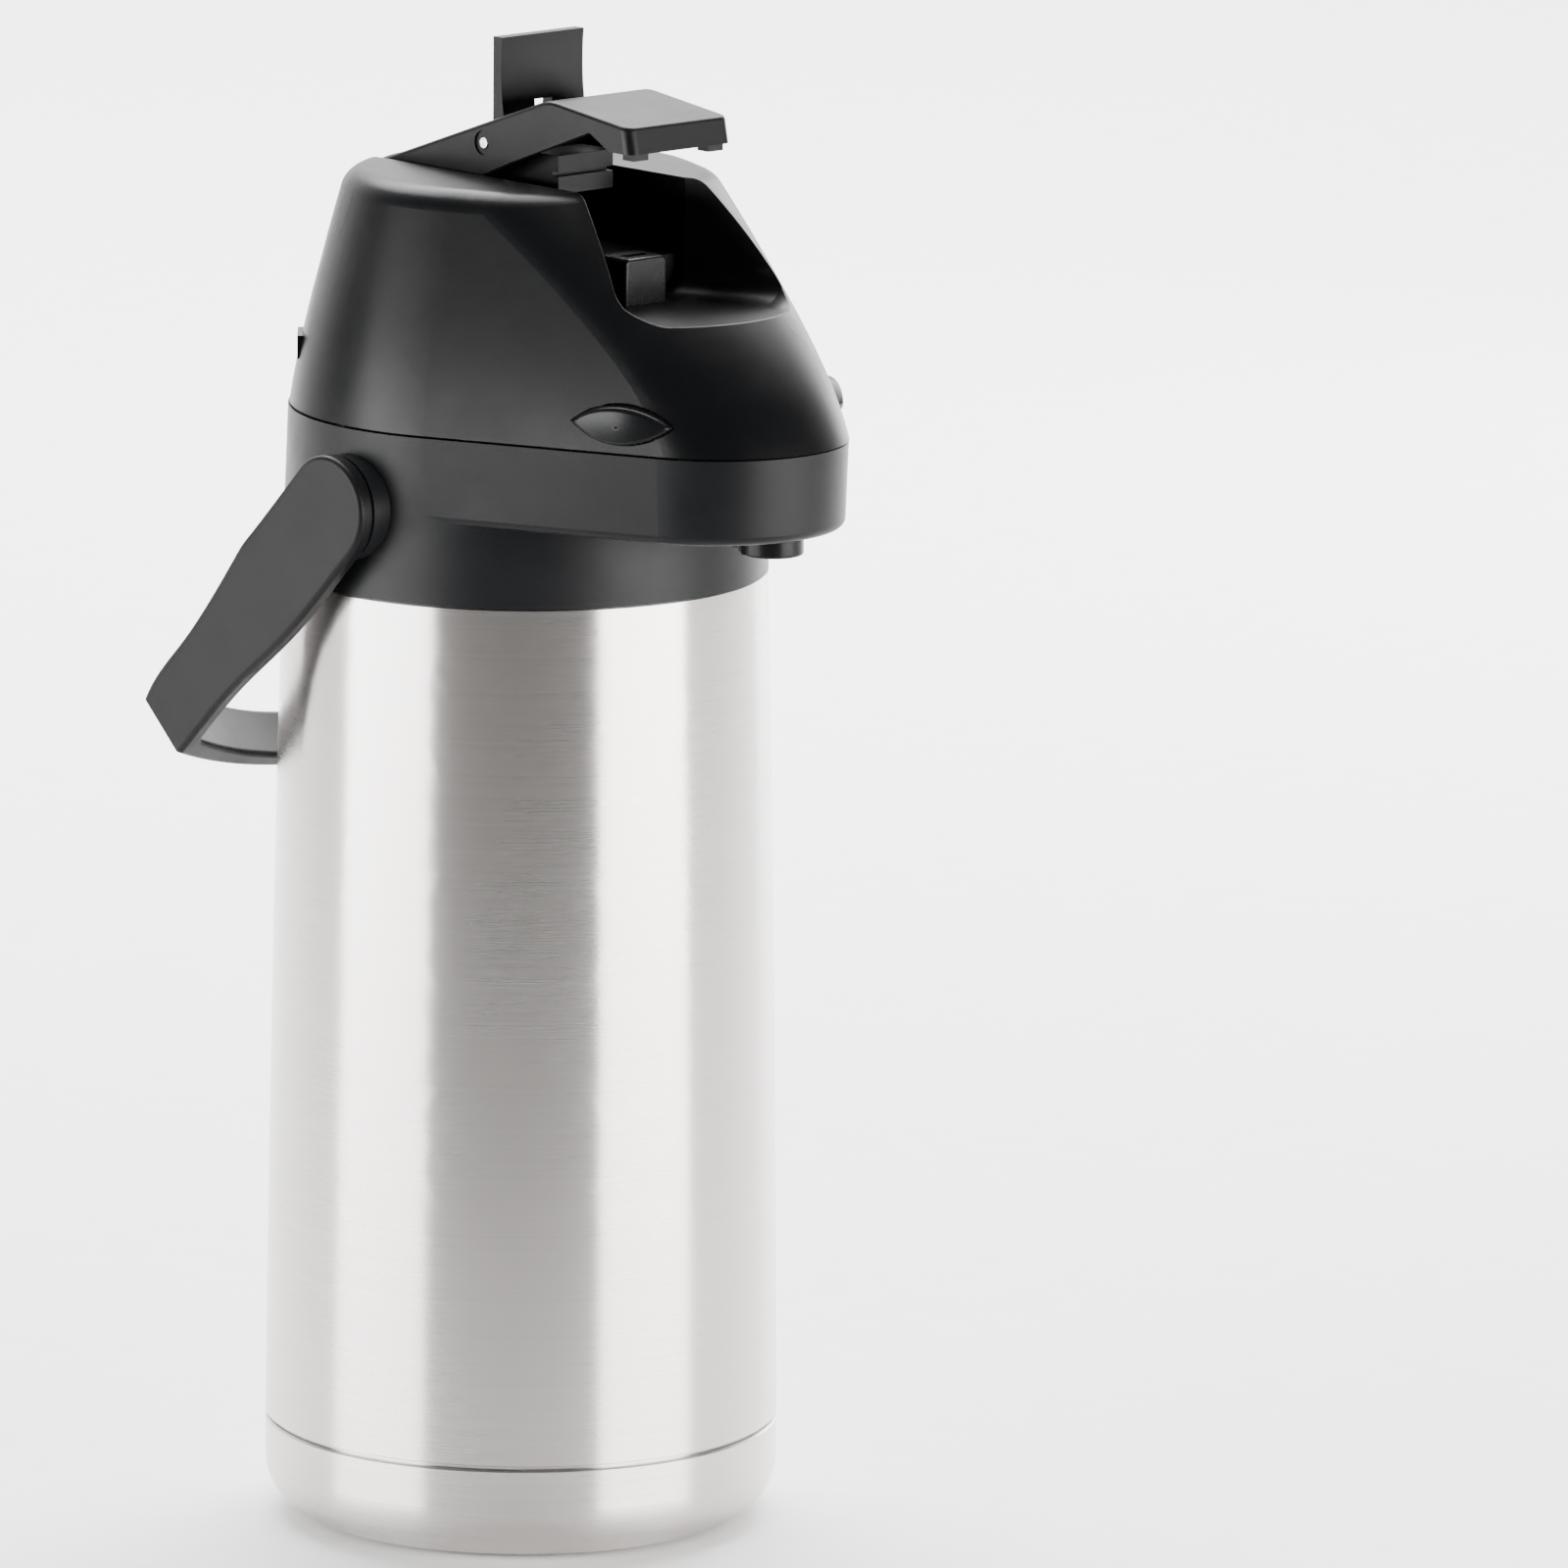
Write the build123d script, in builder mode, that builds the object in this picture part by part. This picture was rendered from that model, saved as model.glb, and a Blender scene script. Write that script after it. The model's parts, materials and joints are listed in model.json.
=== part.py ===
"""Thermal coffee airpot: a steel vacuum bottle with a pump lid, a beak spout and a bail handle.

Origin: on the bottle's axis, on the surface it stands on. +Z up, the spout points to -Y. Millimetres.
"""

from build123d import *
from math import cos, radians, sin, sqrt
import os

os.makedirs("parts", exist_ok=True)

# ---------------------------------------------------------------- driving dimensions
# bottle
base_radius = 71.0
waist_radius = 69.4  # half way up: the side is very slightly convex
shoulder_radius = 66.8
seam_z = 28.0  # top of the steel base cup
shoulder_z = 266.5  # where the collar starts
base_corner = 15.0
sheet = 0.8  # steel sheet
liner_radius = 61.8
neck_radius = 36.8
mouth_z = 282.0

# collar and beak
collar_radius = 65.4
collar_low_radius = 67.0
collar_top_z = 312.0
beak_z = 288.5
nose_centre = 76.0  # ahead of the axis
nose_radius = 36.6
plastic = 2.5
spout_y = -99.5
nozzle_radius = 8.6
nozzle_z = 283.5
pipe_radius = 4.5
pipe_bore = 3.6
pipe_z = 298.0

# stem in the neck
stem_y = -20.0
stem_radius = 34.0
stem_top_z = 308.0

# dome lid: its plan shrinks from the seam to the top along smooth curves
dome_z = 312.6
dome_top_z = 377.5
dome_radius = 65.0
dome_lean = 15.5  # how much the back radius loses up to the top
dome_nose_centre = 78.0
dome_nose_left = 3.0  # what is left of the nose at the top
nose_share = 0.38  # how fast the nose narrows with its distance from the axis
dome_layers = 5
dome_shoulder = 7.5
screw_places = ((-46.0, 22.0), (46.0, 22.0), (-20.0, -86.0), (20.0, -86.0))

# well and lever channel in the dome
channel_half = 20.0
channel_rear_y = 47.5
channel_z = 356.0
well_step_y = -38.0
well_mouth = (30.0, -71.0)
well_z = 345.5
well_wall = 2.2
well_corner = 9.0
opening_edge = 0.4

# lid hinge at the back
lid_pin_y = 69.5
lid_pin_z = 313.0
lid_pin_radius = 2.0
knuckle_radius = 4.5
knuckle_half = 9.6
hinge_half = 18.0

# lever
lever_half = 18.7
lever_wall = 3.0
lever_edge = 1.2
lever_pin_y = 40.0
lever_pin_z = 368.0
lever_pin_radius = 2.0
lever_crest = (-28.6, 400.9)
lever_front = (-61.0, 396.8)
skirt_z = 389.6
lever_slot_y = -14.0  # the lever is open above from here back
link_y = -2.5
link_z = 386.1
link_radius = 1.75

# pump
pump_base_z = 316.0
plate_z = 342.8
plate_thick = 2.5
plate_radius = 27.0
rod_radius = 4.5
head_half = 10.0
head_front_y = -23.7
head_low_z = 373.6
head_top_z = 378.3
tongue_half = 2.6
tongue_rise = 4.6  # above the link pin's axis
link_slot = 10.8
link_play = 1.2  # the pin swings on an arc while the plunger goes straight

# latch buttons on the nose flanks
button_place = (36.6, -79.0)
button_turn = (0.925, 0.38)  # sideways and forward parts of its direction
button_z = 320.3
button_length = 30.0
button_height = 10.6
button_proud = 3.9
crown_radius = 42.0
button_rim = 1.6
latch_travel = 3.0
latch_arm_half = 4.0
latch_foot_z = 303.7
latch_catch_gap = 0.4

# handle
pivot_y = -2.0
pivot_z = 290.8
hang_angle = 43.5  # from straight down, towards the back
arm_inner = 70.2
arm_outer = 75.4
grip_reach = 92.0
grip_sag = 18.5
grip_thick = 5.2
handle_pin_radius = 4.0
head_radius = 15.0
handle_edge = 1.4

fit = 0.05  # radial clearance of a running fit


# ---------------------------------------------------------------- helpers
def save(piece, name):
    """Labels a finished piece and writes it."""
    piece.part.label = name
    export_step(piece.part, f"parts/{name}.step")


def teardrop(back_radius, centre, front_radius):
    """Plan outline of collar and dome: a round back and a smaller round nose, with tangent flanks."""
    lean = (back_radius - front_radius) / centre
    across = sqrt(1 - lean**2)
    back = (back_radius * across, -back_radius * lean)
    nose = (front_radius * across, -centre - front_radius * lean)
    with BuildSketch() as plan:
        with BuildLine():
            ThreePointArc(back, (0, back_radius), (-back[0], back[1]))
            Line((-back[0], back[1]), (-nose[0], nose[1]))
            ThreePointArc((-nose[0], nose[1]), (0, -centre - front_radius), nose)
            Line(nose, back)
        make_face()
    return plan.sketch_local


def button_plane(side):
    """Where a latch button stands on its flank of the nose: local Z points out, local Y up."""
    return Plane(
        origin=(side * button_place[0], button_place[1], button_z),
        x_dir=(button_turn[1], side * button_turn[0], 0),
        z_dir=(side * button_turn[0], -button_turn[1], 0),
    )


def lens(length, height):
    """Pointed oval of two equal arcs."""
    with BuildSketch() as oval:
        with BuildLine():
            ThreePointArc((-length / 2, 0), (0, height / 2), (length / 2, 0))
            ThreePointArc((length / 2, 0), (0, -height / 2), (-length / 2, 0))
        make_face()
    return oval.sketch_local


def dome_plan(height, wall=0.0):
    """Plan outline of the dome at a height, taken in by a wall's thickness."""
    t = (height - dome_z) / (dome_top_z - dome_z)
    back_radius = dome_radius - dome_lean * t**1.2
    centre = dome_nose_left + (dome_nose_centre - dome_nose_left) * (1 - t**1.4)
    front_radius = back_radius - nose_share * centre
    return teardrop(back_radius - wall, centre, front_radius - wall)


def lies_on(edge, body):
    """Whether an edge lies in the faces of a body."""
    points = [edge @ share for share in (0.1, 0.5, 0.9)]
    return all(min(face.distance_to(point) for face in body.faces()) < 0.02 for point in points)


# ---------------------------------------------------------------- bottle
with BuildPart() as outer_shell:
    # skirt inside the base cup, tapering side, stepped shoulder under the collar, neck
    with BuildSketch(Plane.XZ) as shell_section:
        with BuildLine():
            Polyline(
                (base_radius - 2.0, 15.0),
                (base_radius - 1.2, 15.0),
                (base_radius - 1.2, seam_z + 0.4),
                (base_radius + 0.1, seam_z + 0.9),
            )
            ThreePointArc(
                (base_radius + 0.1, seam_z + 0.9),
                (waist_radius, 150.0),
                (shoulder_radius, shoulder_z - 0.5),
            )
            Polyline(
                (shoulder_radius, shoulder_z - 0.5),
                (shoulder_radius - 0.5, shoulder_z),
                (64.8, shoulder_z),
                (64.8, 269.0),
                (63.3, 270.5),
                (neck_radius + sheet, 270.5),
                (neck_radius + sheet, mouth_z),
                (neck_radius, mouth_z),
                (neck_radius, 270.5 - sheet),
                (62.9, 270.5 - sheet),
                (64.0, 268.6),
                (64.0, shoulder_z - sheet),
                (shoulder_radius - sheet, shoulder_z - sheet - 0.3),
            )
            ThreePointArc(
                (shoulder_radius - sheet, shoulder_z - sheet - 0.3),
                (waist_radius - sheet, 150.0),
                (base_radius + 0.1 - sheet, seam_z + 1.3),
            )
            Polyline(
                (base_radius + 0.1 - sheet, seam_z + 1.3),
                (base_radius - 2.0, seam_z + 0.8),
                (base_radius - 2.0, 15.0),
            )
        make_face()
    revolve(axis=Axis.Z)
save(outer_shell, "outer_shell")

with BuildPart() as vacuum_bottom:
    # dished disc that closes the outer shell
    with BuildSketch(Plane.XZ):
        with BuildLine():
            Polyline(
                (0, 11.0),
                (52.0, 11.0),
                (base_radius - 2.0, 17.0),
                (base_radius - 2.0, 24.0),
                (base_radius - 2.8, 24.0),
                (base_radius - 2.8, 17.6),
                (51.8, 11.8),
                (0, 11.8),
                (0, 11.0),
            )
        make_face()
    revolve(axis=Axis.Z)
    # pinched-off evacuation stub
    with BuildSketch(Plane.XY.offset(7.5)):
        Circle(4.0)
    extrude(amount=4.0)
save(vacuum_bottom, "vacuum_bottom")

with BuildPart() as inner_liner:
    with BuildSketch(Plane.XZ):
        with BuildLine():
            Line((0, 24.0), (liner_radius - 14.0, 24.0))
            RadiusArc((liner_radius - 14.0, 24.0), (liner_radius, 38.0), -14.0)
            Line((liner_radius, 38.0), (liner_radius, 246.0))
            RadiusArc((liner_radius, 246.0), (liner_radius - 14.0, 260.0), -14.0)
            Polyline(
                (liner_radius - 14.0, 260.0),
                (neck_radius - 0.9, 262.5),
                (neck_radius - 0.9, mouth_z),
                (neck_radius - 0.9 - sheet, mouth_z),
                (neck_radius - 0.9 - sheet, 261.8),
                (liner_radius - 14.0, 260.0 - sheet),
            )
            RadiusArc((liner_radius - 14.0, 260.0 - sheet), (liner_radius - sheet, 246.0), 13.2)
            Line((liner_radius - sheet, 246.0), (liner_radius - sheet, 38.0))
            RadiusArc((liner_radius - sheet, 38.0), (liner_radius - 14.0, 24.0 + sheet), 13.2)
            Polyline((liner_radius - 14.0, 24.0 + sheet), (0, 24.0 + sheet), (0, 24.0))
        make_face()
    revolve(axis=Axis.Z)
save(inner_liner, "inner_liner")

with BuildPart() as mouth_ring:
    # weld ring that joins liner and shell at the mouth
    with BuildSketch(Plane.XY.offset(mouth_z)):
        Circle(neck_radius + sheet)
        Circle(neck_radius - 0.9 - sheet, mode=Mode.SUBTRACT)
    extrude(amount=1.0)
save(mouth_ring, "mouth_ring")

with BuildPart() as base_cup:
    corner_in = base_corner - 1.0
    with BuildSketch(Plane.XZ):
        with BuildLine():
            Line((46.0, 0.8), (base_radius - base_corner, 0.8))
            RadiusArc(
                (base_radius - base_corner, 0.8), (base_radius, 0.8 + base_corner), -base_corner
            )
            Polyline(
                (base_radius, 0.8 + base_corner),
                (base_radius + 0.1, seam_z - 0.9),
                (base_radius - 0.3, seam_z - 0.4),
                (base_radius - 0.9, seam_z - 0.4),
                (base_radius - 1.0, 0.8 + base_corner),
            )
            RadiusArc(
                (base_radius - 1.0, 0.8 + base_corner), (base_radius - base_corner, 1.8), corner_in
            )
            Polyline((base_radius - base_corner, 1.8), (46.0, 1.8), (46.0, 0.8))
        make_face()
    revolve(axis=Axis.Z)
save(base_cup, "base_cup")

with BuildPart() as foot_ring:
    with BuildSketch(Plane.XZ):
        with BuildLine():
            Polyline(
                (44.2, 0), (54.0, 0), (54.0, 0.8), (45.95, 0.8), (45.95, 4.0), (44.2, 4.0), (44.2, 0)
            )
        make_face()
    revolve(axis=Axis.Z)
save(foot_ring, "foot_ring")

with BuildPart() as bottom_plate:
    with BuildSketch(Plane.XY):
        Circle(44.15)
    extrude(amount=3.5)
    # pressed ring that stiffens the plate
    with BuildSketch(Plane.XY):
        Circle(30.0)
        Circle(26.0, mode=Mode.SUBTRACT)
    extrude(amount=0.8, mode=Mode.SUBTRACT)
save(bottom_plate, "bottom_plate")


# ---------------------------------------------------------------- collar with its beak
with BuildPart() as beak:
    # its flanks leave the collar's cone without a crease
    cone_slope = (collar_low_radius - collar_radius) / (collar_top_z - shoulder_z)
    cone_at_beak = collar_radius + cone_slope * (collar_top_z - beak_z)
    with BuildSketch(Plane.XY.offset(beak_z)):
        add(teardrop(cone_at_beak, nose_centre - 0.3, nose_radius - 0.6))
    with BuildSketch(Plane.XY.offset(collar_top_z)):
        add(teardrop(collar_radius, nose_centre, nose_radius))
    loft()
    fillet(beak.faces().sort_by(Axis.Z)[0].edges(), radius=2.5)

with BuildPart() as collar:
    with BuildSketch(Plane.XZ):
        Polygon(
            (0, shoulder_z),
            (collar_low_radius, shoulder_z),
            (collar_radius, collar_top_z),
            (0, collar_top_z),
            align=None,
        )
    revolve(axis=Axis.Z)
    add(beak.part)
    # round bosses that carry the handle
    with BuildSketch(Plane.YZ.offset(-arm_inner + 0.3)):
        with Locations((pivot_y, pivot_z)):
            Circle(head_radius - 0.5)
    extrude(amount=2 * arm_inner - 0.6)
    # hollow for the stem, and the beak's channel for the pour pipe
    with BuildSketch(Plane.XY.offset(273.2)):
        Circle(collar_radius - plastic)
    extrude(amount=60, mode=Mode.SUBTRACT)
    with BuildSketch(Plane.XY.offset(beak_z + plastic)):
        add(teardrop(collar_radius - 3.1, nose_centre, nose_radius - plastic))
    extrude(amount=60, mode=Mode.SUBTRACT)
    # seat on the bottle's shoulder, and the hole for the neck
    with BuildSketch(Plane.XY.offset(shoulder_z - 1)):
        Circle(64.9)
    extrude(amount=5.2, mode=Mode.SUBTRACT)
    with BuildSketch(Plane.XY.offset(shoulder_z)):
        Circle(neck_radius + 2.0)
    extrude(amount=10, mode=Mode.SUBTRACT)
    # spout hole in the beak's floor
    with BuildSketch(Plane.XY.offset(beak_z - 1)):
        with Locations((0, spout_y)):
            Circle(6.5)
    extrude(amount=6, mode=Mode.SUBTRACT)
    # holes for the handle pins
    with BuildSketch(Plane.YZ.offset(-arm_inner)):
        with Locations((pivot_y, pivot_z)):
            Circle(handle_pin_radius + fit)
    extrude(amount=2 * arm_inner, mode=Mode.SUBTRACT)
    # catches of the two latches on the flanks' inner walls
    for side in (-1, 1):
        with BuildSketch(button_plane(side).offset(-3.65)):
            with Locations((0, 309.1 - button_z)):
                Rectangle(2 * latch_arm_half + 2.0, 3.8)
        extrude(amount=3.3)
    # two hinge ears at the back
    for side in (-1, 1):
        ear_plane = Plane.YZ.offset(side * (knuckle_half + hinge_half) / 2)
        with BuildSketch(ear_plane):
            with Locations((lid_pin_y, lid_pin_z)):
                Circle(knuckle_radius)
            Polygon(
                (61.5, 303.0),
                (66.5, 303.0),
                (lid_pin_y + 4.2, lid_pin_z - 1.5),
                (lid_pin_y, lid_pin_z),
                (lid_pin_y - 4.2, collar_top_z - 0.4),
                (61.5, collar_top_z - 0.4),
                align=None,
            )
        extrude(amount=(hinge_half - knuckle_half) / 2 - 0.2, both=True)
    with BuildSketch(Plane.YZ.offset(-hinge_half)):
        with Locations((lid_pin_y, lid_pin_z)):
            Circle(lid_pin_radius + 0.01)
    extrude(amount=2 * hinge_half, mode=Mode.SUBTRACT)
    # notch that the lid's own knuckle stands in
    with BuildSketch(Plane.XY.offset(lid_pin_z - knuckle_radius - 0.6)):
        with Locations((0, lid_pin_y)):
            Rectangle(2 * knuckle_half + 0.4, 2 * knuckle_radius + 2.2)
    extrude(amount=12, mode=Mode.SUBTRACT)
save(collar, "collar")

with BuildPart() as lid_hinge_pin:
    with BuildSketch(Plane.YZ.offset(-hinge_half + 0.2)):
        with Locations((lid_pin_y, lid_pin_z)):
            Circle(lid_pin_radius)
    extrude(amount=2 * hinge_half - 0.4)
save(lid_hinge_pin, "lid_hinge_pin")

with BuildPart() as spout_nozzle:
    with BuildSketch(Plane.XY.offset(nozzle_z)):
        with Locations((0, spout_y)):
            Circle(nozzle_radius)
        # grip tab behind the round nozzle
        with Locations((0, spout_y + nozzle_radius + 1.0)):
            Rectangle(8.0, 6.0)
    extrude(amount=beak_z - nozzle_z)
    with BuildSketch(Plane.XY.offset(nozzle_z)):
        with Locations((0, spout_y + nozzle_radius + 2.6)):
            Rectangle(8.4, 4.2)
    extrude(amount=0.8, mode=Mode.SUBTRACT)
    with BuildSketch(Plane.XY.offset(beak_z)):
        with Locations((0, spout_y)):
            Circle(6.4)
    extrude(amount=2.9)
    with BuildSketch(Plane.XY.offset(nozzle_z)):
        with Locations((0, spout_y)):
            Circle(pipe_bore)
    extrude(amount=12, mode=Mode.SUBTRACT)
    with BuildSketch(Plane.XY.offset(beak_z + 0.5)):
        with Locations((0, spout_y)):
            Circle(pipe_radius + fit)
    extrude(amount=12, mode=Mode.SUBTRACT)
    nozzle_rims = spout_nozzle.edges().filter_by(GeomType.CIRCLE).group_by(Axis.Z)[0]
    fillet(nozzle_rims.sort_by(SortBy.RADIUS)[-1], 0.8)
save(spout_nozzle, "spout_nozzle")

with BuildPart() as nozzle_seal:
    with BuildSketch(Plane.XZ.offset(-spout_y)):
        with Locations((pipe_radius + 0.75, beak_z + 3.6)):
            Circle(0.7)
    revolve(axis=Axis((0, spout_y, 0), (0, 0, 1)))
save(nozzle_seal, "nozzle_seal")


# ---------------------------------------------------------------- stem in the neck
with BuildPart() as stem_head:
    with BuildSketch(Plane.XY.offset(268.0)):
        Circle(stem_radius)
        Circle(stem_radius - 3.5, mode=Mode.SUBTRACT)
    extrude(amount=stem_top_z - 268.0)
    with BuildSketch(Plane.XY.offset(mouth_z + 2.2)):
        Circle(neck_radius + 1.2)
        Circle(stem_radius - 1, mode=Mode.SUBTRACT)
    extrude(amount=2.8)
    # hub that joins the dip tube to the pour pipe, with its web to the ring
    with BuildSketch(Plane.XY.offset(266.0)):
        with Locations((0, stem_y)):
            Circle(8.0)
    extrude(amount=38.0)
    with BuildSketch(Plane.XY.offset(276.0)):
        with Locations((0, (stem_y - stem_radius + 2) / 2)):
            Rectangle(12.0, stem_radius + stem_y - 2)
    extrude(amount=28.0)
    with BuildSketch(Plane.XY.offset(265.0)):
        with Locations((0, stem_y)):
            Circle(pipe_radius + fit)
    extrude(amount=25.0, mode=Mode.SUBTRACT)
    with BuildSketch(Plane.XY.offset(289.0)):
        with Locations((0, stem_y)):
            Circle(pipe_bore)
    extrude(amount=8.0, mode=Mode.SUBTRACT)
    with BuildSketch(Plane.XZ.offset(-stem_y)):
        with Locations((0, pipe_z)):
            Circle(pipe_radius + fit)
    extrude(amount=30.0, mode=Mode.SUBTRACT)
save(stem_head, "stem_head")

with BuildPart() as stem_gasket:
    with BuildSketch(Plane.XY.offset(mouth_z + 1.0)):
        Circle(neck_radius + 1.0)
        Circle(stem_radius + 0.3, mode=Mode.SUBTRACT)
    extrude(amount=1.2)
save(stem_gasket, "stem_gasket")

with BuildPart() as dip_tube:
    with BuildSketch(Plane.XY.offset(30.0)):
        with Locations((0, stem_y)):
            Circle(pipe_radius)
            Circle(pipe_bore, mode=Mode.SUBTRACT)
    extrude(amount=259.5)
    # slanted foot, so that the tube can't seal itself on the bottle's floor
    with BuildSketch(Plane.YZ.offset(-6)):
        Polygon(
            (stem_y - 6, 29.0), (stem_y + 6, 29.0), (stem_y + 6, 36.0), (stem_y - 6, 30.0), align=None
        )
    extrude(amount=12, mode=Mode.SUBTRACT)
save(dip_tube, "dip_tube")

with BuildPart() as pour_pipe:
    with BuildLine() as pipe_path:
        FilletPolyline(
            (0, stem_y - 1.0, pipe_z),
            (0, spout_y, pipe_z),
            (0, spout_y, beak_z + 0.6),
            radius=4.6,
        )
    with BuildSketch(Plane.XZ.offset(1.0 - stem_y)):
        with Locations((0, pipe_z)):
            Circle(pipe_radius)
            Circle(pipe_bore, mode=Mode.SUBTRACT)
    sweep(path=pipe_path.line)
save(pour_pipe, "pour_pipe")


# ---------------------------------------------------------------- dome lid
dome_heights = [dome_z + (dome_top_z - dome_z) * k / (dome_layers - 1) for k in range(dome_layers)]
with BuildPart() as dome_outside:
    for height in dome_heights:
        with BuildSketch(Plane.XY.offset(height)):
            add(dome_plan(height))
    loft()
    fillet(dome_outside.faces().sort_by(Axis.Z)[-1].edges(), radius=dome_shoulder)

with BuildPart() as dome_inside:
    for height in dome_heights:
        with BuildSketch(Plane.XY.offset(height)):
            add(dome_plan(height, plastic))
    loft()
    split(bisect_by=Plane.XY.offset(dome_top_z - plastic), keep=Keep.BOTTOM)
    fillet(dome_inside.faces().sort_by(Axis.Z)[-1].edges(), radius=dome_shoulder - plastic)

with BuildPart() as well_body:
    # walls and floors of the channel and of the well, solid for now
    with BuildSketch(Plane.XY.offset(channel_z - plastic)):
        with Locations((0, (channel_rear_y + well_wall + well_step_y) / 2)):
            Rectangle(
                2 * (channel_half + well_wall), channel_rear_y + well_wall - well_step_y
            )
    extrude(amount=40)
    with BuildSketch(Plane.XY.offset(well_z - plastic)):
        Polygon(
            (-channel_half - well_wall, well_step_y + well_wall),
            (-channel_half - well_wall, well_step_y - 4),
            (-well_mouth[0] - well_wall, well_mouth[1] - 0.6),
            (-well_mouth[0] - well_wall, -120.0),
            (well_mouth[0] + well_wall, -120.0),
            (well_mouth[0] + well_wall, well_mouth[1] - 0.6),
            (channel_half + well_wall, well_step_y - 4),
            (channel_half + well_wall, well_step_y + well_wall),
            align=None,
        )
    extrude(amount=50)
    # four posts for the lid screws
    with BuildSketch(Plane.XY.offset(pump_base_z)):
        with Locations(*screw_places):
            Circle(3.5)
    extrude(amount=70)
    # guide of the pump rod
    with BuildSketch(Plane.XY.offset(channel_z - 4.0)):
        with Locations((0, link_y)):
            Circle(rod_radius + 3)
    extrude(amount=4.0)
    add(dome_outside.part, mode=Mode.INTERSECT)

with BuildPart() as well_space:
    with BuildSketch(Plane.XY.offset(channel_z)):
        with Locations((0, (channel_rear_y + well_step_y - 4) / 2)):
            Rectangle(2 * channel_half, channel_rear_y - well_step_y + 4)
    extrude(amount=40)
    with BuildSketch(Plane.XY.offset(well_z)):
        Polygon(
            (-channel_half, well_step_y),
            (-channel_half, well_step_y - 4),
            (-well_mouth[0], well_mouth[1]),
            (-well_mouth[0], -125.0),
            (well_mouth[0], -125.0),
            (well_mouth[0], well_mouth[1]),
            (channel_half, well_step_y - 4),
            (channel_half, well_step_y),
            align=None,
        )
    extrude(amount=50)
    # the well's floor rounds up into its side walls
    floor_sides = well_space.faces().sort_by(Axis.Z)[0].edges().filter_by(Axis.X, reverse=True)
    fillet(floor_sides, well_corner)

with BuildPart() as dome_lid:
    add(dome_outside.part)
    add(dome_inside.part, mode=Mode.SUBTRACT)
    add(well_body.part)
    add(well_space.part, mode=Mode.SUBTRACT)
    # rounded rim of the opening
    rim = [
        edge
        for edge in dome_lid.edges()
        if lies_on(edge, dome_outside.part) and lies_on(edge, well_space.part)
    ]
    fillet(rim, opening_edge)
    # hole for the pump rod
    with BuildSketch(Plane.XY.offset(channel_z - 10)):
        with Locations((0, link_y)):
            Circle(rod_radius + fit)
    extrude(amount=15, mode=Mode.SUBTRACT)
    # holes for the lever's hinge pin
    with BuildSketch(Plane.YZ.offset(-channel_half - well_wall)):
        with Locations((lever_pin_y, lever_pin_z)):
            Circle(lever_pin_radius + 0.01)
    extrude(amount=2 * (channel_half + well_wall), mode=Mode.SUBTRACT)
    # pilot holes in the screw posts
    with BuildSketch(Plane.XY.offset(pump_base_z)):
        with Locations(*screw_places):
            Circle(1.3)
    extrude(amount=9, mode=Mode.SUBTRACT)
    # knuckle at the back
    with BuildSketch(Plane.YZ.offset(-knuckle_half + 0.2)):
        with Locations((lid_pin_y, lid_pin_z)):
            Circle(knuckle_radius)
        Polygon(
            (63.4, dome_z + 0.2),
            (lid_pin_y, lid_pin_z - knuckle_radius + 4.3),
            (lid_pin_y + 3.4, lid_pin_z + 2.9),
            (62.6, 321.0),
            align=None,
        )
    extrude(amount=2 * knuckle_half - 0.4)
    with BuildSketch(Plane.YZ.offset(-knuckle_half)):
        with Locations((lid_pin_y, lid_pin_z)):
            Circle(lid_pin_radius + fit)
    extrude(amount=2 * knuckle_half, mode=Mode.SUBTRACT)
    # finger ribs on the rear flanks
    for turn in (138, 42):
        rib_x = 61.0 * cos(radians(turn))
        rib_y = 61.0 * sin(radians(turn))
        with BuildSketch(Plane.XY.offset(325.0)):
            with Locations(Location((rib_x, rib_y, 0), turn)):
                Rectangle(3.6, 15.0)
        extrude(amount=6.4)
    # windows of the latch buttons
    for side in (-1, 1):
        window = button_plane(side)
        with BuildSketch(window.offset(-6)):
            add(lens(button_length + 0.8, button_height + 0.8))
        extrude(amount=12, mode=Mode.SUBTRACT)
save(dome_lid, "dome_lid")

with BuildPart() as lever_stop:
    # block in the well that the paddle comes down on
    with BuildSketch(Plane.XY.offset(well_z)):
        with Locations((0, well_step_y - 5.25)):
            Rectangle(15.2, 10.5)
    extrude(amount=12.8)
    fillet(lever_stop.edges().filter_by(Axis.Y).group_by(Axis.Z)[-1], 1.6)
    fillet(lever_stop.faces().sort_by(Axis.Y)[0].edges().filter_by(Axis.Z), 0.8)
    # shallow slot in its top
    with BuildSketch(Plane.XY.offset(well_z + 12.0)):
        with Locations((0, well_step_y - 5.25)):
            SlotOverall(9.0, 3.0)
    extrude(amount=2, mode=Mode.SUBTRACT)
save(lever_stop, "lever_stop")

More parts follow.
